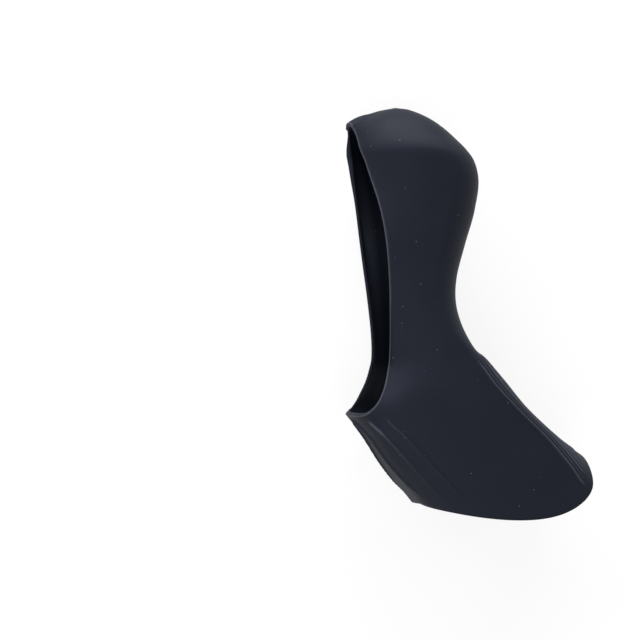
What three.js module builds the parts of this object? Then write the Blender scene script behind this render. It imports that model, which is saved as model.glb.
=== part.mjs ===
import * as THREE from 'three';

// A brake lever hood: one moulded rubber sleeve, lying on one flank. Millimetres, +Z up, +Y towards the horn,
// +X towards the palm side and -X towards the slot for the lever blade.
// The sleeve is described by stations from the mouth (0) along the foot, the neck and the horn to its crown (16).

const wall = 1.8;
const lipRound = 0.6;
const eveningPasses = 3;

// Middle line of the palm side, seen from the flank: down the ramp, over the neck and round the horn.
const palmLine = [
  [32.4, -41.2], [22.0, -34.3], [13.2, -26.7], [7.1, -19.2], [3.2, -14.8], [0.8, -12.0],
  [-2.0, -9.3], [-5.0, -2.5], [-6.4, 4.0], [-6.0, 11.0], [-3.6, 20.0], [-0.4, 31.0],
  [0.2, 40.5], [-3.6, 49.0], [-10.9, 56.6], [-15.8, 59.5], [-20.2, 61.0],
];
// Middle line of the underside, from the mouth to the foot of the slot.
const underLine = [[-17.8, -54.9], [-27.2, -43.5], [-32.4, -35.8], [-37.3, -29.3]];
const underLead = [-41.0, -23.0];
const footLead = [-37.3, -29.3, 4.5];
// Middle line of the horn's front, from the top of the slot to the crown.
const browLine = [[-37.5, 52.0], [-34.2, 57.3], [-27.0, 60.6]];
const browLead = [-39.0, 46.0];
// Edge of the slot between its foot and its top: place seen from the flank, and half the width of the slot.
const slotEdge = [
  [-31.8, -25.0, 11.3], [-29.5, -20.6, 9.9], [-28.2, -14.5, 8.3],
  [-28.1, -6.0, 9.1], [-28.8, 6.5, 11.5], [-30.0, 20.0, 13.9], [-31.9, 31.0, 12.2], [-34.0, 39.5, 9.7],
  [-35.3, 44.9, 7.3], [-36.4, 49.0, 5.6],
];
const topLead = [-38.4, 55.5, 2.6];
const slotFoot = 3;
const slotTop = 14;
const crown = palmLine.length - 1;

// Half the thickness from flank to flank, and how deep the rounded palm side is before the flank begins.
const halfWidth = [
  18, 17.8, 17.5, 17.2, 16.8, 16.4, 16.0, 15.4, 14.9, 14.9, 15.5, 16.3, 16.7, 15.8, 12.2, 8.6, 4.6,
];
const palmDepth = [3.6, 3.6, 4.4, 5.3, 5.1, 4.8, 4.9, 8, 10, 11, 12, 13, 13, 13, 11, 8, 3.7];
// Squareness of the palm arch and of the underside: 2 is an ellipse, more is squarer.
const palmPower = [2.6, 2.5, 2.5, 2.4, 2.4, 2.3, 2.3, 2.3, 2.3, 2.3, 2.3, 2.3, 2.3, 2.3, 2.3, 2.2, 2];
const underPower = [3.2, 3.2, 3.2, 3.1, 3.0, 2.8, 2.6, 2.4, 2.2, 2.2, 2.3, 2.3, 2.3, 2.3, 2.2, 2.1, 2];
// How far the flanks reach down past the middle lines to wrap the handlebar.
const barWrap = [16.0, 4.3, 0.8, 0.8, 0, 0, 0, 0, 0, 0, 0, 0, 0, 0, 0, 0, 0];
// Shares of the wrap across a flank, in fifths of the way from palm line to underside, and how it bends in.
const wrapShare = [0.54, 0.97, 0.91, 0.77, 0.57, 0.38];
const palmBend = 2.7;
const underBend = 1.4;
// How far the slot's top is arched up between its corners, from the top row to the crown.
const browRise = [3.9, 1.3, 0];
const browWide = 0.42;

// Raised lines on the underside of the foot, as shares of the way from the shoulder to the underside's middle.
const underRidges = [0.72, 0.835, 0.94];
const ridgeHalf = 0.014;
const ridgeHeight = 0.45;
// The crest between the ribbed palm panel and the flank, just inside the shoulder, so that the flank lies flat.
const crestShare = 0.93;
const crestHeight = 0.4;
const crestEnd = 6.5;
const crownRise = 0.3;

// Share at which the slot's edge leaves the rows at its foot and its top.
const slotCorner = 0.8;

// Columns across the palm side, as shares of the way from its middle line to the shoulder.
const palmShares = [0, 0.13, 0.26, 0.39, 0.52, 0.65, 0.77, 0.87, crestShare];
const flankSteps = 10;
const rowsPerStation = [3, 3, 3, 3, 3, 2, 3, 3, 3, 3, 3, 3, 3, 3, 2, 2];

// Smooth curve through values that stand one station apart. Lead stands before the first, trail after the last.
function along(values, station, lead = values[0], trail = values[values.length - 1]) {
  const index = Math.min(Math.floor(station), values.length - 2);
  const share = station - index;
  const before = index > 0 ? values[index - 1] : lead;
  const after = index + 2 < values.length ? values[index + 2] : trail;
  const from = values[index];
  const to = values[index + 1];
  const blend = (a, b, c, d) => {
    const rise = (c - a) / 2;
    const fall = (d - b) / 2;
    const cubic = 2 * b - 2 * c + rise + fall;
    const square = 3 * c - 3 * b - 2 * rise - fall;
    return ((cubic * share + square) * share + rise) * share + b;
  };
  return Array.isArray(from) ? from.map((value, k) => blend(before[k], value, to[k], after[k]))
    : blend(before, from, to, after);
}

function isClosed(station) {
  return station <= slotFoot || station >= slotTop;
}

function stationShape(station) {
  const front = station < slotTop
    ? along(underLine, Math.min(station, slotFoot), underLine[0], underLead)
    : along(browLine, station - slotTop, browLead);
  const shape = {
    palm: new THREE.Vector2(...along(palmLine, station)),
    edge: new THREE.Vector2(...front),
    gap: 0,
    half: along(halfWidth, station),
    depth: along(palmDepth, station),
    palmPower: along(palmPower, station),
    underPower: along(underPower, station),
    wrap: Math.max(along(barWrap, station), 0),
    rise: station < slotTop ? 0 : along(browRise, station - slotTop),
  };
  if (!isClosed(station)) {
    const edges = [slotCornerPoint(slotFoot), ...slotEdge, slotCornerPoint(slotTop)];
    const [x, y, gap] = along(edges, station - slotFoot, footLead, topLead);
    shape.edge.set(x, y);
    shape.gap = gap;
  }
  return shape;
}

// Part of a superellipse from the shoulder to the slot edge, or from the palm line to the shoulder.
class Arch extends THREE.Curve {
  constructor(start, depth, half, power, reach, rising) {
    super();
    Object.assign(this, { start, depth, half, power, reach, rising });
  }

  getPoint(share) {
    const angle = share * this.reach;
    const across = Math.abs(Math.sin(angle)) ** (2 / this.power);
    const downward = Math.abs(Math.cos(angle)) ** (2 / this.power);
    return this.rising
      ? new THREE.Vector2(this.start + this.depth * (1 - downward), this.half * across)
      : new THREE.Vector2(this.start + this.depth * across, this.half * downward);
  }
}

// The palm arch and the arch of flank and underside of one section, and the way from palm line to edge.
function archesOf(shape) {
  const run = shape.edge.clone().sub(shape.palm);
  const length = run.length();
  const depth = Math.min(shape.depth, 0.6 * length);
  const { half } = shape;
  const share = Math.min(shape.gap / half, 0.995);
  const full = (length - depth) / (1 - share ** shape.underPower) ** (1 / shape.underPower);
  const reach = Math.acos(share ** (shape.underPower / 2));
  return {
    run: run.normalize(),
    length,
    half,
    palmArch: new Arch(0, depth, half, shape.palmPower, Math.PI / 2, true),
    underArch: new Arch(depth, full, half, shape.underPower, reach, false),
  };
}

// A point of a section, from its place along and across the section's own plane.
function placed(shape, { run, length, half }, point) {
  const downward = new THREE.Vector2(-run.y, run.x);
  if (downward.y > 0) {
    downward.negate();
  }
  const way = THREE.MathUtils.clamp(point.x / length, 0, 1);
  const wide = point.y / half;
  const drop = shape.wrap * along(wrapShare, 5 * way) * wide ** THREE.MathUtils.lerp(palmBend, underBend, way);
  const rise = shape.rise * way ** 6 * (1 - Math.min(wide / browWide, 1) ** 2);
  const flat = shape.palm.clone().addScaledVector(run, point.x).addScaledVector(downward, drop - rise);
  return new THREE.Vector3(flat.x, flat.y, point.y);
}

// Where the slot's edge leaves the row at its foot or top, so that the skin on both sides meets there.
function slotCornerPoint(station) {
  const shape = stationShape(station);
  const arches = archesOf(shape);
  return placed(shape, arches, arches.underArch.getPointAt(slotCorner)).toArray();
}

// Places across one half, from the palm line to the slot's corner and on to the underside's middle.
function acrossPlaces() {
  const places = palmShares.map((share) => ({ palm: true, share }));
  const [flankRidge, ...panelRidges] = underRidges;
  for (let k = 0; k < flankSteps; k += 1) {
    places.push({ palm: false, share: (k / flankSteps) * (flankRidge - ridgeHalf) });
  }
  const around = (ridge) => [ridge - ridgeHalf, ridge, ridge + ridgeHalf];
  const rest = [...around(flankRidge), slotCorner, ...panelRidges.flatMap(around), 1];
  rest.forEach((share, k) => {
    places.push({ palm: false, share });
    if (k + 1 < rest.length && rest[k + 1] - share > 2.5 * ridgeHalf) {
      places.push({ palm: false, share: (share + rest[k + 1]) / 2 });
    }
  });
  return places;
}

// One half of one section, from the palm line to the edge, as points on the near flank's side.
function halfSection(station, places) {
  const shape = stationShape(station);
  const arches = archesOf(shape);
  return places.map(({ palm, share }) => {
    const arch = palm ? arches.palmArch : arches.underArch;
    return placed(shape, arches, arch.getPointAt(share));
  });
}

function stations() {
  const list = [];
  rowsPerStation.forEach((count, k) => {
    for (let step = 0; step < count; step += 1) {
      list.push(k + step / count);
    }
  });
  list.push(crown);
  return list;
}

// Adds the two triangles of one four-cornered facet, leaving out any that has shrunk to a line.
function facet(triangles, a, b, c, d) {
  for (const [p, q, r] of [[a, b, c], [a, c, d]]) {
    if (p !== q && q !== r && r !== p) {
      triangles.push([p, q, r]);
    }
  }
}

function pointNormals(points, triangles) {
  const normals = points.map(() => new THREE.Vector3());
  for (const [a, b, c] of triangles) {
    const side = points[c].clone().sub(points[a]);
    const face = points[b].clone().sub(points[a]).cross(side);
    normals[a].add(face);
    normals[b].add(face);
    normals[c].add(face);
  }
  return normals.map((normal) => normal.normalize());
}

// Evens the directions out over neighbouring points, so that the lining doesn't fold in tight corners.
function evened(normals, triangles) {
  const sums = normals.map((normal) => normal.clone());
  for (const [a, b, c] of triangles) {
    sums[a].add(normals[b]).add(normals[c]);
    sums[b].add(normals[c]).add(normals[a]);
    sums[c].add(normals[a]).add(normals[b]);
  }
  return sums.map((sum) => sum.normalize());
}

function ridgeAt(place, station) {
  if (place.palm) {
    const onCrest = place.share === crestShare ? crestHeight : 0;
    return onCrest * (1 - THREE.MathUtils.smoothstep(station, crestEnd - 2, crestEnd));
  }
  const onRidge = underRidges.includes(place.share) ? ridgeHeight : 0;
  const start = THREE.MathUtils.smoothstep(station, 0, 0.4);
  return onRidge * start * (1 - THREE.MathUtils.smoothstep(station, slotFoot - 0.7, slotFoot - 0.3));
}

// The places of one row: spaced for the raised lines on the foot, evenly from the neck on.
function placesAt(station, places, corner) {
  const middle = places.length - 1;
  const even = THREE.MathUtils.smoothstep(station, slotFoot, slotFoot + 3);
  const shoulder = palmShares.length;
  const spaced = places.map((place, k) => {
    const evenShare = k < corner
      ? (slotCorner * (k - shoulder)) / (corner - shoulder)
      : slotCorner + ((1 - slotCorner) * (k - corner)) / (middle - corner);
    return place.palm ? place : { palm: false, share: THREE.MathUtils.lerp(place.share, evenShare, even) };
  });
  if (isClosed(station)) {
    return spaced;
  }
  return spaced.slice(0, corner + 1).map((place) => {
    return place.palm ? place : { palm: false, share: place.share / slotCorner };
  });
}

function sleeve() {
  const places = acrossPlaces();
  const corner = places.findIndex((place) => !place.palm && place.share === slotCorner);
  const middle = places.length - 1;
  const rows = stations();
  const points = [];
  const ridges = [];
  const ids = rows.map((station) => {
    const row = new Array(2 * middle + 1);
    halfSection(station, placesAt(station, places, corner)).forEach((point, k) => {
      row[middle + k] = points.length;
      points.push(point);
      ridges.push(ridgeAt(places[k], station));
      const meets = k === 0 || k === middle;
      row[middle - k] = meets ? row[middle + k] : points.length;
      if (!meets) {
        points.push(new THREE.Vector3(point.x, point.y, -point.z));
        ridges.push(ridgeAt(places[k], station));
      }
    });
    return row;
  });
  const skin = [];
  for (let i = 0; i + 1 < ids.length; i += 1) {
    for (let j = 0; j < 2 * middle; j += 1) {
      const corners = [ids[i][j], ids[i + 1][j], ids[i + 1][j + 1], ids[i][j + 1]];
      if (!corners.includes(undefined)) {
        facet(skin, ...corners);
      }
    }
  }
  const last = ids[ids.length - 1];
  points.push(points[last[middle]].clone().add(points[last[0]]).multiplyScalar(0.5));
  ridges.push(crownRise);
  for (let j = 0; j < 2 * middle; j += 1) {
    skin.push([last[j], points.length - 1, last[j + 1]]);
  }
  const footRow = rows.indexOf(slotFoot);
  const topRow = rows.indexOf(slotTop);
  const foot = ids[footRow];
  const top = ids[topRow];
  const slotRim = [
    ...ids.slice(footRow, topRow).map((row) => row[middle + corner]),
    ...top.slice(middle + corner, -1),
    ...top.slice(0, middle - corner),
    ...ids.slice(footRow, topRow + 1).map((row) => row[middle - corner]).reverse(),
    ...foot.slice(0, middle - corner).reverse(),
    ...foot.slice(middle + corner + 1, -1).reverse(),
  ];
  return { points, ridges, skin, rims: [ids[0].slice(0, -1), slotRim] };
}

// The skin, its lining one wall further in, and a rounded lip round the mouth and round the slot.
function moulding() {
  const { points, ridges, skin, rims } = sleeve();
  const normals = pointNormals(points, skin);
  let inward = normals;
  for (let pass = 0; pass < eveningPasses; pass += 1) {
    inward = evened(inward, skin);
  }
  const count = points.length;
  const outer = points.map((point, k) => point.clone().addScaledVector(normals[k], ridges[k]));
  const inner = points.map((point, k) => point.clone().addScaledVector(inward[k], -wall));
  const all = [...outer, ...inner];
  const triangles = [...skin, ...skin.map(([a, b, c]) => [a + count, c + count, b + count])];
  for (const rim of rims) {
    const lip = rim.map((id, k) => {
      const next = points[rim[(k + 1) % rim.length]];
      const last = points[rim[(k + rim.length - 1) % rim.length]];
      const outward = inward[id].clone().cross(next.clone().sub(last)).normalize();
      const middle = outer[id].clone().add(inner[id]).multiplyScalar(0.5);
      all.push(middle.addScaledVector(outward, lipRound));
      return all.length - 1;
    });
    rim.forEach((id, k) => {
      const next = (k + 1) % rim.length;
      facet(triangles, id, rim[next], lip[next], lip[k]);
      facet(triangles, lip[k], lip[next], rim[next] + count, id + count);
    });
  }
  const geometry = new THREE.BufferGeometry();
  geometry.setAttribute('position', new THREE.Float32BufferAttribute(all.flatMap((p) => [p.x, p.y, p.z]), 3));
  geometry.setIndex(triangles.flat());
  return geometry;
}

const rubber = new THREE.MeshStandardMaterial({
  name: 'black rubber',
  color: 0x24262e,
  roughness: 0.62,
  metalness: 0,
});

const geometry = moulding();
geometry.computeBoundingBox();
const box = geometry.boundingBox;
const centre = box.getCenter(new THREE.Vector3());
geometry.translate(-centre.x, -centre.y, -box.min.z);
geometry.computeVertexNormals();

const hood = new THREE.Mesh(geometry, rubber);
hood.name = 'hood';

const part = new THREE.Group();
part.name = 'brake_lever_hood';
part.add(hood);

export default part;
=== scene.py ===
import math
from functools import lru_cache

import bpy
import numpy as np
from mathutils import Matrix, Vector
from mathutils.kdtree import KDTree


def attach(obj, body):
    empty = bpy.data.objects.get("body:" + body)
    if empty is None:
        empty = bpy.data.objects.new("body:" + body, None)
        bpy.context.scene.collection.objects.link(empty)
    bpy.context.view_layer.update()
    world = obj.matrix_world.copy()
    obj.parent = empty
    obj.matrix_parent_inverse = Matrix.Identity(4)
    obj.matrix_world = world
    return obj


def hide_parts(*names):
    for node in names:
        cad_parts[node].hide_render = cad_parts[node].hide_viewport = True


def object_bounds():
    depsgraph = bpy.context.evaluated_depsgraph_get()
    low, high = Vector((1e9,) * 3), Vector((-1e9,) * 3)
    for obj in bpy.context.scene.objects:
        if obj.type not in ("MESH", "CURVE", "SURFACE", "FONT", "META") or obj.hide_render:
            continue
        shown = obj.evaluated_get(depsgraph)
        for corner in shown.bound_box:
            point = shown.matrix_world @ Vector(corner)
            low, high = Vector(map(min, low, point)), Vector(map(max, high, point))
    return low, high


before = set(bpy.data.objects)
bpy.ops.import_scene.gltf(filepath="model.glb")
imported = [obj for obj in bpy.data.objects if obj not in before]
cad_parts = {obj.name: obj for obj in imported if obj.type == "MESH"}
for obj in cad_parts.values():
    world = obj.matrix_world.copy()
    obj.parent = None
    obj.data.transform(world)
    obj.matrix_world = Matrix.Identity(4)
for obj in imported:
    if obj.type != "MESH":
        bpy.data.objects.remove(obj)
cad_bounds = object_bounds()
scene = bpy.context.scene

# The hood is one sleeve of soft black rubber, moulded in one shot round a core. A rider's palm lies on its
# ramp and a lever body fills it, so the wall is even, the lips are rounded and the ramp is ribbed for grip.

MM = 0.001

# The wall thins to a fine lip over the last millimetres before the slot. Both lips are rounded, and the
# slot's lip has a small bead along it.
WALL = 1.8
SLOT_LIP = 0.75
SLOT_TAPER = 5.0
LIP_ROUND = 0.3
RIM_BEAD = 0.3
RIM_BEAD_HALF = 0.5

# The sleeve runs in stations from the mouth (0) along foot and neck to the crown of the horn (16). Places are
# millimetres from the middle of the neck: x towards the palm side, y towards the horn and z towards the near
# flank. A slot edge also has half the slot's width there.
PALM_LINE = [
    (33.2, -41.6), (24.1, -35.7), (14.8, -27.6), (7.9, -19.5), (3.5, -14.6), (1.0, -12.0), (-2.0, -9.3),
    (-5.0, -2.5), (-6.4, 4.0), (-6.0, 11.0), (-3.6, 20.0), (-0.4, 31.0), (0.2, 40.5), (-3.6, 49.0),
    (-10.9, 56.6), (-15.8, 59.5), (-20.2, 61.0)]
UNDER_LINE = [(-17.4, -55.5), (-27.1, -43.8), (-32.6, -35.5), (-37.3, -29.3)]
BEYOND_UNDER = (-41.0, -23.0)
BROW_LINE = [(-37.8, 53.8), (-35.3, 57.7), (-27.0, 60.8)]
BEFORE_BROW = (-38.6, 48.0)
SLOT_EDGE = [
    (-31.8, -25.0, 11.3), (-29.5, -20.6, 9.9), (-28.2, -14.5, 8.3), (-28.1, -6.0, 9.1), (-28.8, 6.5, 11.5),
    (-30.0, 20.0, 13.9), (-31.9, 31.0, 12.2), (-34.0, 39.5, 9.7), (-35.1, 45.2, 7.9), (-36.2, 49.4, 6.3)]
BEFORE_SLOT = (-37.3, -29.3, 4.5)
BEYOND_SLOT = (-37.9, 57.5, 0.4)
SLOT_FOOT = 3
NECK = 6
SLOT_TOP = 14
CROWN = 16

# How far round the flank the slot's corners lie, as shares of the way from the shoulder to the underside.
SLOT_CORNER = 0.8
BROW_CORNER = 0.885

# The form of each section, station by station: half its width, the depth of its palm arch, how square its two
# arches are, and how far the mouth drops round the handlebar. The brow rises over the slot's top.
HALF_WIDTH = [
    18, 17.8, 17.5, 17.2, 16.8, 16.4, 16.0, 15.4, 14.9, 14.9, 15.5, 16.3, 16.7, 15.8, 12.2, 8.6, 4.6]
PALM_DEPTH = [4.1, 4.7, 5.5, 5.8, 5.4, 5.0, 4.9, 8, 10, 11, 12, 13, 13, 13, 11, 8, 3.7]
PALM_POWER = [2.0, 2.0, 2.0, 2.1, 2.1, 2.2, 2.3, 2.3, 2.3, 2.3, 2.3, 2.3, 2.3, 2.3, 2.3, 2.2, 2]
UNDER_POWER = [3.2, 3.2, 3.2, 3.1, 3.0, 2.8, 2.6, 2.4, 2.2, 2.2, 2.3, 2.3, 2.3, 2.3, 2.2, 2.1, 2]
BAR_WRAP = [15.6, 3.5, 0, 0.8, 0, 0, 0, 0, 0, 0, 0, 0, 0, 0, 0, 0, 0]
WRAP_SHARE = [0.45, 0.93, 0.9, 0.76, 0.55, 0.31]
WRAP_BEND = (2.73, 1.52)
BROW_RISE = [2.2, 0.9, 0]
BROW_WIDE = 0.5
BROW_BEND = 6
DEEPEST_ARCH = 0.6
WIDEST_GAP = 0.995
ARCH_POINTS = 400

# Raised lines, moulded proud of the skin: the crest on the shoulder beside the ramp, the three ridges under
# the foot as shares of the way from shoulder to underside, and the ramp's fine ribs between the crests. The
# ribs are drawn coarser than the real ones, which stand about a millimetre apart, so that they show. The
# tops of the ridges get a painted highlight, each by its own amount. The horn's cap stands a little proud
# along a soft edge.
CREST_HEIGHT = 0.4
CREST_HALF = 0.35
UNDER_RIDGES = [
    [0.60, 0.662, 0.693, 0.735],
    [0.73, 0.763, 0.796, 0.83],
    [0.84, 0.916, 0.941, 0.985]]
RIDGE_HIGHLIGHT = [0.8, 1.15, 0.7]
RIDGE_HEIGHT = 0.6
RIDGE_HALF = 0.5
RIDGE_SHARP = 1.6
RIB_PITCH = 1.6
RIB_HEIGHT = 0.35
RIB_BORDER = 0.5
RIB_FOOT = 3.2
RIB_SOFT = (0.6, 0.8)

# The cap's edge, as the stations where it crosses the palm line, the shoulder and the slot's corner. The raised
# skin falls off from there over so many millimetres, below towards the neck and above towards the crown.
CAP_EDGE = [12.45, 12.78, 12.45]
CAP_HEIGHT = 0.7
CAP_BELOW = 13.0
CAP_ABOVE = 7.0
CAP_SOFT = 1.1
CAP_BEND = 1.5


def along(values, station, lead=None, trail=None):
    """A smooth curve through values that stand one station apart."""
    values = np.asarray(values, float)
    low = min(int(station), len(values) - 2)
    part = station - low
    before = values[low - 1] if low else np.asarray(values[0] if lead is None else lead, float)
    beyond = np.asarray(values[-1] if trail is None else trail, float)
    after = values[low + 2] if low + 2 < len(values) else beyond
    here, there = values[low], values[low + 1]
    rise, fall = (there - before) / 2, (after - here) / 2
    cubic = 2 * here - 2 * there + rise + fall
    square = 3 * there - 3 * here - 2 * rise - fall
    return ((cubic * part + square) * part + rise) * part + here


def smooth_step(x, low, high):
    """Rises from 0 to 1 between low and high, with soft ends."""
    t = np.clip((x - low) / (high - low), 0, 1)
    return t * t * (3 - 2 * t)


def section(station):
    """The numbers of one section: its palm point, its edge and the form of its two arches."""
    if station < SLOT_TOP:
        edge = along(UNDER_LINE, min(station, SLOT_FOOT), trail=BEYOND_UNDER)
        rise = 0.0
    else:
        edge = along(BROW_LINE, station - SLOT_TOP, lead=BEFORE_BROW)
        rise = along(BROW_RISE, station - SLOT_TOP)
    gap = 0.0
    if SLOT_FOOT < station < SLOT_TOP:
        edges = [corner(SLOT_FOOT), *SLOT_EDGE, corner(SLOT_TOP)]
        *edge, gap = along(edges, station - SLOT_FOOT, BEFORE_SLOT, BEYOND_SLOT)
    return dict(
        palm=along(PALM_LINE, station), edge=np.array(edge), gap=gap, rise=rise,
        half=along(HALF_WIDTH, station), depth=along(PALM_DEPTH, station),
        palm_power=along(PALM_POWER, station), under_power=along(UNDER_POWER, station),
        wrap=max(along(BAR_WRAP, station), 0.0))


def at_shares(curve, shares):
    """The points of a flat curve at shares of its length."""
    steps = np.linalg.norm(np.diff(curve, axis=0), axis=1)
    run = np.concatenate([[0], np.cumsum(steps)])
    return np.column_stack([np.interp(np.asarray(shares) * run[-1], run, curve[:, k]) for k in (0, 1)])


def row_points(station, palm_shares, under_shares):
    """Half of one section, from the palm line over the shoulder to the slot's edge or the underside."""
    s = section(station)
    way = s["edge"] - s["palm"]
    length = np.hypot(*way)
    way = way / length
    depth = min(s["depth"], DEEPEST_ARCH * length)
    open_share = min(s["gap"] / s["half"], WIDEST_GAP)
    full = (length - depth) / (1 - open_share ** s["under_power"]) ** (1 / s["under_power"])
    turn = np.linspace(0, math.pi / 2, ARCH_POINTS)
    palm = np.column_stack([
        depth * (1 - np.cos(turn).clip(0) ** (2 / s["palm_power"])),
        s["half"] * np.sin(turn) ** (2 / s["palm_power"])])
    turn = np.linspace(0, math.acos(open_share ** (s["under_power"] / 2)), ARCH_POINTS)
    under = np.column_stack([
        depth + full * np.sin(turn) ** (2 / s["under_power"]),
        s["half"] * np.cos(turn).clip(0) ** (2 / s["under_power"])])
    flat = np.vstack([at_shares(palm, palm_shares), at_shares(under, under_shares)])
    down = np.array([-way[1], way[0]])
    down = -down if down[1] > 0 else down
    reach = np.clip(flat[:, 0] / length, 0, 1)
    wide = flat[:, 1] / s["half"]
    across = np.array([along(WRAP_SHARE, (len(WRAP_SHARE) - 1) * part) for part in reach])
    drop = s["wrap"] * across * wide ** (WRAP_BEND[0] * (1 - reach) + WRAP_BEND[1] * reach)
    drop -= s["rise"] * reach ** BROW_BEND * (1 - np.minimum(wide / BROW_WIDE, 1) ** 2) ** 2
    return np.column_stack([s["palm"] + flat[:, :1] * way + drop[:, None] * down, flat[:, 1]])


@lru_cache(maxsize=None)
def corner(station):
    """Where the slot's edge leaves the row at its foot or its top."""
    share = SLOT_CORNER if station == SLOT_FOOT else BROW_CORNER
    return row_points(station, [], [share])[0]


# Rows along the sleeve and columns across one half of it, close together where ribs and ridges cross them. On
# the foot's flank they are crowded by the shoulder, for its crest, and again over the ridges.
ROW_STEPS = [14, 14, 14, 10, 8, 8, 8, 8, 9, 10, 12, 14, 14, 16, 10, 8]
PALM_COLUMNS = 96
CREST_COLUMNS = 8
PLAIN_COLUMNS = 24
RIDGE_COLUMNS = 22
FLANK_COLUMNS = CREST_COLUMNS + PLAIN_COLUMNS + RIDGE_COLUMNS
CORNER_COLUMNS = 40
CREST_SHARE = 0.05
RIDGE_SHARE = 0.58

stations = np.concatenate([k + np.arange(n) / n for k, n in enumerate(ROW_STEPS)] + [[CROWN]])
palm_shares = np.arange(PALM_COLUMNS) / PALM_COLUMNS
foot_shares = np.concatenate([
    np.linspace(0, CREST_SHARE, CREST_COLUMNS, endpoint=False),
    np.linspace(CREST_SHARE, RIDGE_SHARE, PLAIN_COLUMNS, endpoint=False),
    np.linspace(RIDGE_SHARE, SLOT_CORNER, RIDGE_COLUMNS, endpoint=False),
    np.linspace(SLOT_CORNER, 1, CORNER_COLUMNS)])
even_shares = np.concatenate([
    np.linspace(0, SLOT_CORNER, FLANK_COLUMNS, endpoint=False), np.linspace(SLOT_CORNER, 1, CORNER_COLUMNS)])
brow_shares = np.concatenate([
    np.linspace(0, BROW_CORNER, FLANK_COLUMNS, endpoint=False), np.linspace(BROW_CORNER, 1, CORNER_COLUMNS)])


def smoothed(values, pairs, passes):
    """Averages each point's value with its neighbours', to even out directions and heights."""
    first, second = pairs.T
    count = np.bincount(np.concatenate([first, second]), minlength=len(values))[:, None] + 1
    for _ in range(passes):
        total = values.copy()
        for k in range(values.shape[1]):
            total[:, k] += np.bincount(first, values[second, k], len(values))
            total[:, k] += np.bincount(second, values[first, k], len(values))
        values = total / count
    return values


def unit(vectors):
    """The vectors with a length of one."""
    return vectors / np.linalg.norm(vectors, axis=-1, keepdims=True).clip(1e-9)


def face_normals(points, quads):
    """The outward direction at each point, from the faces round it."""
    a, b, c, d = (points[quads[:, k]] for k in range(4))
    across = np.cross(c - a, d - b)
    total = np.zeros_like(points)
    for k in range(4):
        for axis in range(3):
            total[:, axis] += np.bincount(quads[:, k], across[:, axis], len(points))
    return unit(total)


def row_shares(station):
    """Shares of the flank's columns in one row: crowded over the foot's ridges, even from the neck on."""
    if station >= SLOT_TOP:
        return brow_shares
    even = smooth_step(station, SLOT_FOOT, NECK)
    shares = foot_shares * (1 - even) + even_shares * even
    if SLOT_FOOT < station < SLOT_TOP:
        return shares[:FLANK_COLUMNS + 1] / SLOT_CORNER
    return shares


half_count = PALM_COLUMNS + len(foot_shares)
corner_column = PALM_COLUMNS + FLANK_COLUMNS
half = np.full((len(stations), half_count, 3), np.nan)
for i, station in enumerate(stations):
    line = row_points(station, palm_shares, row_shares(station))
    half[i, :len(line)] = line

# Heights of the raised lines over the skin, in millimetres, for every point of the half. The lines fade in
# and out over these stations.
CREST_STARTS = (0.02, 0.3)
CREST_ENDS = (4.0, 6.4)
RIBS_END = (4.3, 5.8)
RIDGES_START = (0.1, 0.7)
RIDGES_END = (2.55, 2.95)
# Over these stations the painted highlight on the under ridges grows from half to full.
HIGHLIGHT_GROWS = (0.8, 2.4)

steps = np.linalg.norm(np.diff(half, axis=1), axis=2)
around = np.concatenate([np.zeros((len(stations), 1)), np.cumsum(steps, axis=1)], axis=1)
steps = np.linalg.norm(np.diff(half, axis=0), axis=2)
lengthwise = np.concatenate([np.zeros((1, half_count)), np.cumsum(np.nan_to_num(steps), axis=0)])


def ridge(distance, half_wide):
    """The form of a raised line across itself, 1 on its top and 0 well away from it."""
    return np.exp(-np.abs(distance / half_wide) ** RIDGE_SHARP)


height = np.zeros(half.shape[:2])
# Shares of painted highlight at every point: the tops of the crest, the ribs and the under ridges are coloured
# paler in place of the light they catch.
line_highlight = np.zeros(half.shape[:2])
shoulder = around[:, PALM_COLUMNS]
cap_edge = np.interp(np.arange(half_count), [0, PALM_COLUMNS + CREST_COLUMNS, corner_column], CAP_EDGE)
for i, station in enumerate(stations):
    inside = shoulder[i] - around[i]
    crest_fade = smooth_step(station, *CREST_STARTS) * (1 - smooth_step(station, *CREST_ENDS))
    crest = crest_fade * ridge(inside, CREST_HALF)
    foot = lengthwise[i]
    ramp = smooth_step(inside, RIB_BORDER, RIB_BORDER + RIB_SOFT[0])
    ramp *= smooth_step(foot, RIB_FOOT, RIB_FOOT + RIB_SOFT[1])
    ramp *= 1 - smooth_step(station, *RIBS_END)
    ribs = ramp * (0.5 - 0.5 * np.cos(2 * math.pi * inside / RIB_PITCH))
    height[i] += CREST_HEIGHT * crest + RIB_HEIGHT * ribs
    line_highlight[i] = np.maximum(crest, ribs)
    for shares, ridge_highlight in zip(UNDER_RIDGES, RIDGE_HIGHLIGHT):
        if station < SLOT_FOOT:
            at = np.interp(along(shares, station), row_shares(station), around[i, PALM_COLUMNS:])
            fade = smooth_step(station, *RIDGES_START) * (1 - smooth_step(station, *RIDGES_END))
            line = fade * ridge(around[i] - at, RIDGE_HALF)
            height[i] += RIDGE_HEIGHT * line
            highlit = ridge_highlight * (0.5 + 0.5 * smooth_step(station, *HIGHLIGHT_GROWS))
            line_highlight[i] = np.maximum(line_highlight[i], line * highlit)
for k in range(half_count):
    at = np.interp(cap_edge[k], stations, lengthwise[:, k])
    beyond = lengthwise[:, k] - at
    wide = np.where(beyond > 0, CAP_ABOVE, CAP_BELOW)
    soft = np.sqrt(beyond ** 2 + CAP_SOFT ** 2) - CAP_SOFT
    height[:, k] += CAP_HEIGHT * np.maximum(1 - soft / wide, 0) ** CAP_BEND

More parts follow.
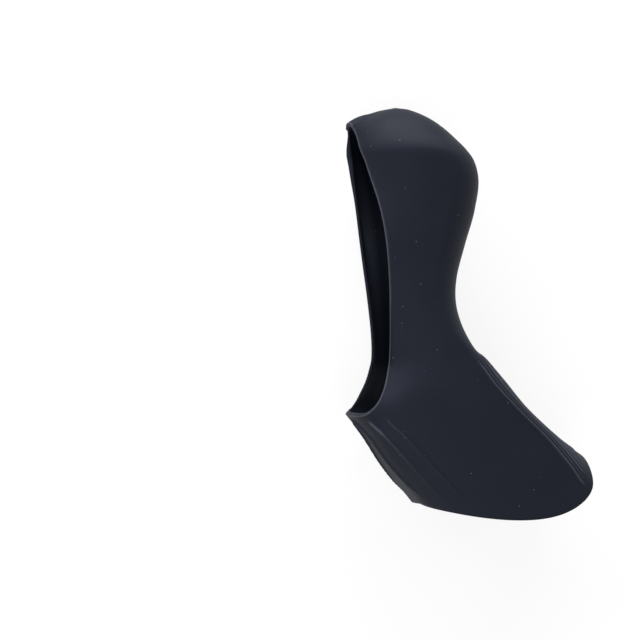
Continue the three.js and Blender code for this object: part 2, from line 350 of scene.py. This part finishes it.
# Both halves in one grid: the palm line in the middle, the underside's middle at the two sides.
side = half_count - 1
grid = np.full((len(stations), 2 * side + 1), -1)
points, heights, lies = [], [], []
for i in range(len(stations)):
    for k in range(half_count):
        if np.isnan(half[i, k, 0]):
            break
        x, y, z = half[i, k]
        grid[i, side + k] = len(points)
        points.append((x, y, z))
        heights.append(height[i, k])
        lies.append((stations[i], around[i, k] - shoulder[i], line_highlight[i, k]))
        if k in (0, side):
            grid[i, side - k] = grid[i, side + k]
        else:
            grid[i, side - k] = len(points)
            points.append((x, y, -z))
            heights.append(height[i, k])
            lies.append(lies[-1])

# The crown closes the last row with smaller and smaller rings over a shallow dome.
CROWN_RINGS = 5
CROWN_DOME = 0.5
CROWN_WAY = np.array([-0.2, 0.98, 0.0])

last = grid[-1, :-1]
ring_points = np.array(points)[last]
middle = (ring_points[0] + ring_points[side]) / 2
dome = CROWN_WAY * CROWN_DOME
rings = [last]
for n in range(1, CROWN_RINGS):
    share = 1 - n / CROWN_RINGS
    rings.append(np.arange(len(points), len(points) + len(last)))
    points.extend(middle + (ring_points - middle) * share + dome * (1 - share ** 2))
    heights.extend([0.0] * len(last))
    lies.extend([(CROWN, 0.0, 0.0)] * len(last))
peak = len(points)
points.append(middle + dome)
heights.append(0.0)
lies.append((CROWN, 0.0, 0.0))
points = np.array(points)
heights = np.array(heights)

# Faces join neighbouring rows and columns. Where a corner is missing, the slot lies open.
quads = np.stack([grid[:-1, :-1], grid[1:, :-1], grid[1:, 1:], grid[:-1, 1:]], axis=-1).reshape(-1, 4)
quads = quads[(quads >= 0).all(axis=1)]
ring_quads = [
    np.column_stack([outer, inner, np.roll(inner, -1), np.roll(outer, -1)])
    for outer, inner in zip(rings, rings[1:])]
quads = np.vstack([quads, *ring_quads])
crown_faces = [(a, peak, b) for a, b in zip(rings[-1], np.roll(rings[-1], -1))]
pairs = np.unique(np.sort(np.vstack([quads[:, [k, (k + 1) % 4]] for k in range(4)]), axis=1), axis=0)
pairs = pairs[pairs[:, 0] != pairs[:, 1]]

# Edges of the two openings, each a closed loop of points: the mouth, and the slot for the lever.
foot_row = int(np.flatnonzero(stations == SLOT_FOOT)[0])
top_row = int(np.flatnonzero(stations == SLOT_TOP)[0])
near, far = side + corner_column, side - corner_column
slot_rim = np.array([
    *grid[foot_row:top_row, near], *grid[top_row, near:-1], *grid[top_row, :far],
    *grid[foot_row:top_row + 1, far][::-1], *grid[foot_row, :far][::-1], *grid[foot_row, near + 1:-1][::-1]])
mouth_rim = grid[0, :-1]

# The rims are evened along themselves: the end of the ramp is a round lobe, and the slot's foot a round U.
MOUTH_EVENING = 80
SLOT_EVENING = 60

for rim, passes in ((mouth_rim, MOUTH_EVENING), (slot_rim, SLOT_EVENING)):
    for _ in range(passes):
        ring = points[rim]
        points[rim] = ring / 2 + (np.roll(ring, 1, axis=0) + np.roll(ring, -1, axis=0)) / 4

# The skin is evened just inside the mouth, where it turns from the foot into the neck, and over the cap. The
# rims are held. The ranges are stations, and the last is millimetres past the shoulder.
EVENING = 120
NEAR_MOUTH = (0.2, 0.6)
TURN_STARTS = (1.9, 2.8)
TURN_ENDS = (4.5, 6)
OVER_CAP = (13.0, 14.0)
OFF_SHOULDER = (2, 7)

station_of, past_shoulder, highlight_share = np.array(lies).T
neck_turn = smooth_step(station_of, *TURN_STARTS) * (1 - smooth_step(station_of, *TURN_ENDS))
neck_turn *= smooth_step(past_shoulder, *OFF_SHOULDER)
loose = np.maximum(neck_turn, smooth_step(station_of, *OVER_CAP))
loose = np.maximum(loose, 1 - smooth_step(station_of, *NEAR_MOUTH))
loose[slot_rim] = 0
loose[mouth_rim] = 0
for _ in range(EVENING):
    points += loose[:, None] * (smoothed(points, pairs, 1) - points)

# The lining lies one wall in from the skin, along directions evened enough that it has no folds of its own.
LINING_EVENING = 60
BEAD_STARTS = (3.5, 4.5)
BEAD_ENDS = (12.8, 13.8)

normals = face_normals(points, quads)
inward = unit(smoothed(normals, pairs, LINING_EVENING))
rim_tree = KDTree(len(slot_rim))
for k, at in enumerate(slot_rim):
    rim_tree.insert(points[at], k)
rim_tree.balance()
from_rim = np.array([rim_tree.find(point)[2] for point in points])
wall = SLOT_LIP + (WALL - SLOT_LIP) * smooth_step(from_rim, 0, SLOT_TAPER)
beaded = smooth_step(station_of, *BEAD_STARTS) * (1 - smooth_step(station_of, *BEAD_ENDS))
bead = np.exp(-(from_rim / RIM_BEAD_HALF) ** 2)
heights += RIM_BEAD * beaded * bead
# The slot's bead gets the painted highlight as well, a paler colour that stands in for the line of light along
# the lip.
highlight_share = np.maximum(highlight_share, bead)
skin = points + normals * heights[:, None]
lining = points - inward * wall[:, None]

# The lips: a half round from the skin to the lining, along each rim. A rim's direction is taken over a few of
# its points.
LIP_STEPS = 6
RIM_SPAN = 2
vertices = [*skin, *lining]
# The skin's points carry their share of painted highlight, and the lining carries none.
highlight_shares = [*highlight_share, *np.zeros(len(highlight_share))]
faces = [tuple(q) for q in quads] + [tuple(f) for f in crown_faces]
count = len(points)
faces += [tuple(count + v for v in reversed(f)) for f in faces]
for rim in (mouth_rim, slot_rim):
    ahead = unit(np.roll(points[rim], -RIM_SPAN, axis=0) - np.roll(points[rim], RIM_SPAN, axis=0))
    outward = unit(np.cross(inward[rim], ahead))
    centre = (skin[rim] + lining[rim]) / 2
    arm = skin[rim] - centre
    loops = [rim]
    for n in range(1, LIP_STEPS):
        angle = math.pi * n / LIP_STEPS
        loops.append(np.arange(len(vertices), len(vertices) + len(rim)))
        vertices.extend(centre + arm * math.cos(angle) + outward * LIP_ROUND * math.sin(angle))
        # Round the lip, the painted highlight runs on from the skin and fades out before the lining.
        highlight_shares.extend(highlight_share[rim] * max(math.cos(angle), 0) ** 2)
    loops.append(rim + count)
    for outer, inner in zip(loops, loops[1:]):
        strip = np.column_stack([outer, np.roll(outer, -1), np.roll(inner, -1), inner])
        faces += [tuple(f) for f in strip]

# Corners that fall together are dropped, and the mesh is set on the solid's place, with the same middle and
# the same lowest point.
faces = [tuple(dict.fromkeys(face)) for face in faces]
faces = [face for face in faces if len(face) > 2]
low = np.array(cad_bounds[0])
high = np.array(cad_bounds[1])
vertices = np.array(vertices)
shift = (vertices.min(axis=0) + vertices.max(axis=0)) / 2
shift[2] = vertices[:, 2].min()
origin = (low + high) / 2
origin[2] = low[2]
vertices = (vertices - shift) * MM + origin
mesh = bpy.data.meshes.new("moulded_hood")
mesh.from_pydata(vertices.tolist(), [], faces)
mesh.attributes.new("painted_highlight_share", "FLOAT", "POINT").data.foreach_set("value", np.array(highlight_shares, np.float32))
mesh.validate()
mesh.shade_smooth()
hood = bpy.data.objects.new("moulded_hood", mesh)
scene.collection.objects.link(hood)
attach(hood, "root")
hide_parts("hood")


def linear(hex_colour):
    """An sRGB hex colour as linear red, green, blue and alpha."""
    parts = [int(hex_colour[k:k + 2], 16) / 255 for k in (1, 3, 5)]
    return (*[c / 12.92 if c <= 0.04045 else ((c + 0.055) / 1.055) ** 2.4 for c in parts], 1.0)


def add_node(tree, kind, links=None, **settings):
    """Adds a node, sets its properties and inputs, and links its inputs to the outputs given."""
    node = tree.nodes.new(kind)
    for key, value in settings.items():
        if hasattr(node, key):
            setattr(node, key, value)
        else:
            node.inputs[key.replace("_", " ")].default_value = value
    for key, output in (links or {}).items():
        tree.links.new(output, node.inputs[key])
    return node


def seen_directly(tree):
    """1 for rays that reach the eye straight, by a gloss or through a clear body, and 0 for all others."""
    rays = add_node(tree, "ShaderNodeLightPath")
    direct = add_node(
        tree, "ShaderNodeMath", {0: rays.outputs["Is Camera Ray"], 1: rays.outputs["Is Glossy Ray"]},
        operation="ADD")
    seen = add_node(
        tree, "ShaderNodeMath", {0: direct.outputs[0], 1: rays.outputs["Is Transmission Ray"]},
        operation="ADD", use_clamp=True)
    return seen.outputs[0]


# Moulded rubber, filled with carbon black. It has a soft dull sheen and a few pale specks of dust that its
# tacky skin holds. Its raised lines carry a painted highlight: a paler colour on their tops, in place of the
# light they catch. The blasted mould leaves a fine even grain, which is drawn coarser than the real one so
# that it shows.
RUBBER_DARK = "#0f1118"
RUBBER_LIGHT = "#14161f"
PAINTED_HIGHLIGHT = "#3c3f48"
DUST = "#6c6f7b"
GRAIN = 0.35
MOTTLE = 9.0
DUST_SPACING = 3.2
DUST_SPECK = (0.02, 0.05)
HIGHLIGHT_FALLOFF = 3.0
ROUGHNESS = (0.52, 0.64)
GRAIN_DEPTH = 0.05
COOL_SHEEN = (0.78, 0.86, 1.0, 1.0)

rubber = bpy.data.materials.new("moulded rubber")
rubber.use_nodes = True
tree = rubber.node_tree
tree.nodes.clear()
place = add_node(tree, "ShaderNodeTexCoord").outputs["Object"]
mottle = add_node(tree, "ShaderNodeTexNoise", {"Vector": place}, Scale=1 / (MOTTLE * MM), Detail=3.0)
tone = add_node(tree, "ShaderNodeMix", {"Factor": mottle.outputs["Fac"]}, data_type="RGBA")
tone.inputs[6].default_value = linear(RUBBER_DARK)
tone.inputs[7].default_value = linear(RUBBER_LIGHT)
# The raised lines' painted highlight: their share of a paler colour, which stands in for the light on their
# tops.
highlight_attribute = add_node(tree, "ShaderNodeAttribute", attribute_name="painted_highlight_share")
highlight_mask = add_node(tree, "ShaderNodeMath", {0: highlight_attribute.outputs["Fac"]}, operation="POWER")
highlight_mask.inputs[1].default_value = HIGHLIGHT_FALLOFF
highlighted = add_node(tree, "ShaderNodeMix", {"Factor": highlight_mask.outputs[0], 6: tone.outputs[2]}, data_type="RGBA")
highlighted.inputs[7].default_value = linear(PAINTED_HIGHLIGHT)
specks = add_node(tree, "ShaderNodeTexVoronoi", {"Vector": place}, Scale=1 / (DUST_SPACING * MM))
speck_mask = add_node(tree, "ShaderNodeMapRange", {"Value": specks.outputs["Distance"]})
speck_mask.inputs["From Min"].default_value = DUST_SPECK[1]
speck_mask.inputs["From Max"].default_value = DUST_SPECK[0]
dusted = add_node(
    tree, "ShaderNodeMix", {"Factor": speck_mask.outputs["Result"], 6: highlighted.outputs[2]}, data_type="RGBA")
dusted.inputs[7].default_value = linear(DUST)
grain = add_node(tree, "ShaderNodeTexNoise", {"Vector": place}, Scale=1 / (GRAIN * MM), Detail=2.0)
rough = add_node(tree, "ShaderNodeMapRange", {"Value": mottle.outputs["Fac"]})
rough.inputs["To Min"].default_value = ROUGHNESS[0]
rough.inputs["To Max"].default_value = ROUGHNESS[1]
bump = add_node(
    tree, "ShaderNodeBump", {"Height": grain.outputs["Fac"]}, Strength=0.25, Distance=GRAIN_DEPTH * MM)
surface = add_node(tree, "ShaderNodeBsdfPrincipled", {
    "Base Color": dusted.outputs[2], "Roughness": rough.outputs["Result"], "Normal": bump.outputs["Normal"]},
    IOR=1.5, Specular_IOR_Level=0.1)
surface.inputs["Specular Tint"].default_value = COOL_SHEEN
add_node(tree, "ShaderNodeOutputMaterial", {"Surface": surface.outputs["BSDF"]})
hood.data.materials.append(rubber)

# The floor is a plain white studio table that the hood lies on, laid with matt paper. A share of the paper's
# white is its own, so that it looks white to the eye all over and still takes the hood's shadow.
PAPER_WHITE = 0.85
PAPER = "#f6f6f7"
REACH = 3

floor_mesh = bpy.data.meshes.new("floor")
floor_corners = [(-REACH, -REACH, 0), (REACH, -REACH, 0), (REACH, REACH, 0), (-REACH, REACH, 0)]
floor_mesh.from_pydata(floor_corners, [], [(0, 1, 2, 3)])
floor = bpy.data.objects.new("floor", floor_mesh)
floor.location.z = low[2]
scene.collection.objects.link(floor)
paper = bpy.data.materials.new("white paper")
paper.use_nodes = True
tree = paper.node_tree
tree.nodes.clear()
glow = add_node(tree, "ShaderNodeMath", {0: seen_directly(tree)}, operation="MULTIPLY")
glow.inputs[1].default_value = PAPER_WHITE
matt = add_node(tree, "ShaderNodeBsdfDiffuse", Roughness=0.5)
matt.inputs["Color"].default_value = linear(PAPER)
white = add_node(tree, "ShaderNodeEmission", Strength=1.0)
mixed = add_node(tree, "ShaderNodeMixShader", {0: glow.outputs[0], 1: matt.outputs[0], 2: white.outputs[0]})
add_node(tree, "ShaderNodeOutputMaterial", {"Surface": mixed.outputs[0]})
floor_mesh.materials.append(paper)

# The camera looks down on the near flank, a little from the slot's side. It aims left of the neck, where the
# hood lies right of the picture's middle.
LENS = 105.0
DISTANCE = 0.56
LEAN = math.radians(15.5)
AIM_RIGHT = -45.15
AIM_UP = -1.53

neck = origin - shift * MM
towards = Vector((-math.sin(LEAN), 0, math.cos(LEAN)))
right = Vector((math.cos(LEAN), 0, math.sin(LEAN)))
up = Vector((0, 1, 0))
aim = Vector(neck) + right * AIM_RIGHT * MM + up * AIM_UP * MM
camera = bpy.data.objects.new("camera", bpy.data.cameras.new("camera"))
camera.data.lens = LENS
camera.data.clip_start = 0.01
camera.location = aim + towards * DISTANCE
camera.rotation_euler = Matrix((right, up, towards)).transposed().to_euler()
scene.collection.objects.link(camera)
scene.camera = camera


# Six square soft boxes stand round the table at one distance from the neck, most of them low. The strongest
# is beyond the horn. Directions are degrees round from the palm side and up from the table.
BOX_SIZE = 0.8
BOX_DISTANCE = 1.2


def soft_box(name, around_table, above_table, power):
    """A square soft box that faces the neck, with its power in watts."""
    light = bpy.data.lights.new(name, "AREA")
    light.shape = "SQUARE"
    light.size = BOX_SIZE
    light.energy = power
    lamp = bpy.data.objects.new(name, light)
    flat, rise = math.radians(around_table), math.radians(above_table)
    direction = Vector((math.cos(flat) * math.cos(rise), math.sin(flat) * math.cos(rise), math.sin(rise)))
    lamp.location = Vector(neck) + direction * BOX_DISTANCE
    lamp.rotation_euler = direction.to_track_quat("Z", "Y").to_euler()
    scene.collection.objects.link(lamp)


soft_box("horn_box", 92, 12, 30)
soft_box("crown_box", 135, 20, 14)
soft_box("palm_box", 40, 12, 4)
soft_box("foot_box", 225, 12, 8)
soft_box("slot_box", 240, 62, 7.5)
soft_box("tongue_box", 330, 14, 4)

# The studio round the table is white to the eye and in reflections, and lights nothing else.
world = bpy.data.worlds.new("studio")
scene.world = world
world.use_nodes = True
tree = world.node_tree
tree.nodes.clear()
sky = add_node(tree, "ShaderNodeBackground", {"Strength": seen_directly(tree)}, Color=(1.0, 1.0, 1.0, 1.0))
add_node(tree, "ShaderNodeOutputWorld", {"Surface": sky.outputs["Background"]})

scene.view_settings.view_transform = "Standard"
